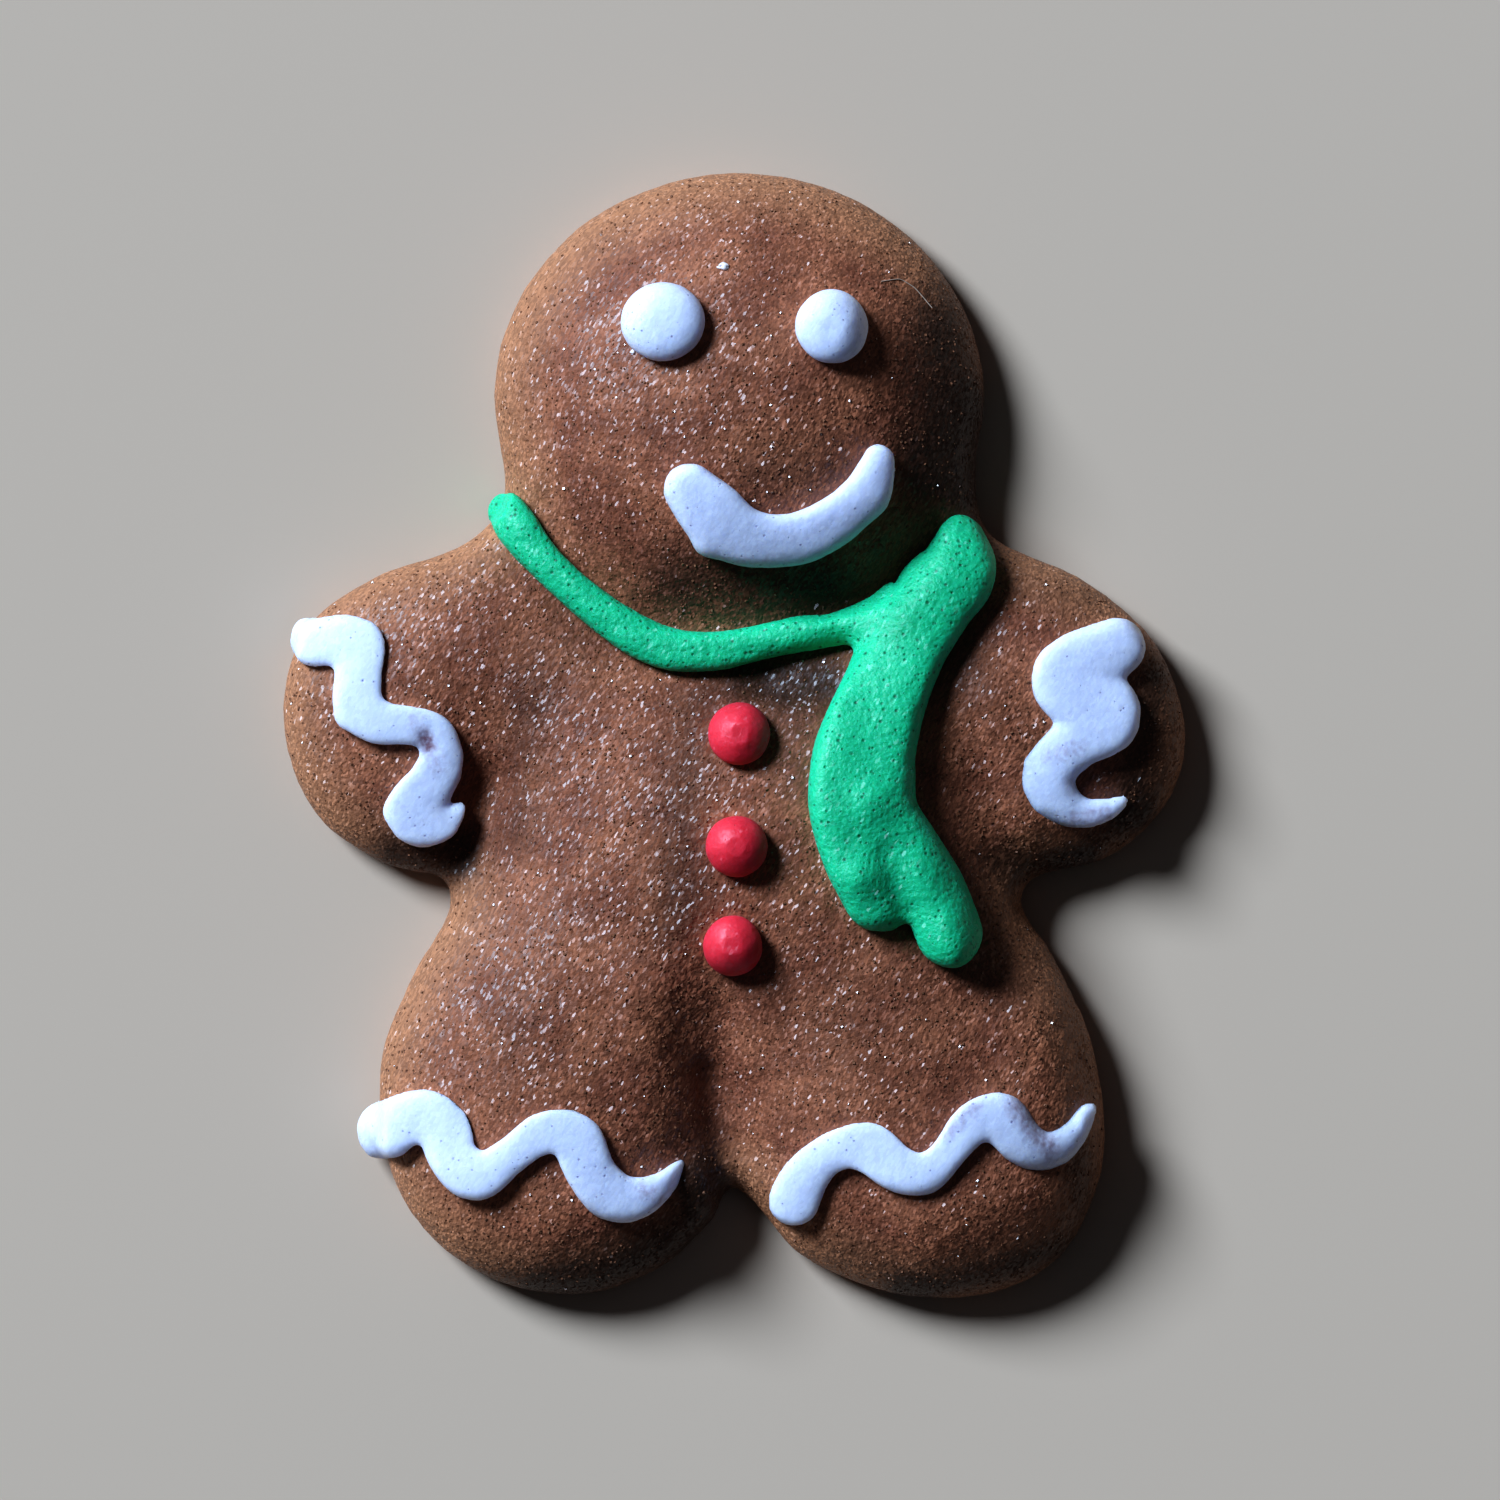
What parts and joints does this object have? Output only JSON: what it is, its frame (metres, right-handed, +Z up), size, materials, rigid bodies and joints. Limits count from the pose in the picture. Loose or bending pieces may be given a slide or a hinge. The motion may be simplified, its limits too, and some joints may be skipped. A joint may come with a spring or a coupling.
{
  "type": "gingerbread man biscuit",
  "caption": "Small puffed gingerbread man biscuit lying face up, with piped icing eyes, smile, buttons, scarf and wavy trims on its arms and legs.",
  "frame": {"origin": "on the ground under the middle of the biscuit's outline", "axes": "+Z up out of the iced face, +Y towards the top of the head, +X to the right when looking down on the face"},
  "size_m": [0.0362, 0.0451, 0.0071],
  "materials": {
    "gingerbread": "baked gingerbread, matt brown, paler at the edge, with fine sugar crystals and pores",
    "white_icing": "dried white royal icing, satin",
    "red_icing": "dried red icing dots, soft gloss",
    "green_icing": "dried green icing, satin, with small air bubbles"
  },
  "bodies": {
    "root": {"biscuit": "gingerbread", "eye_left": "white_icing", "eye_right": "white_icing", "smile": "white_icing", "scarf": "green_icing", "button_top": "red_icing", "button_middle": "red_icing", "button_bottom": "red_icing", "arm_trim_left": "white_icing", "arm_trim_right": "white_icing", "leg_trim_left": "white_icing", "leg_trim_right": "white_icing"}
  },
  "joints": []
}
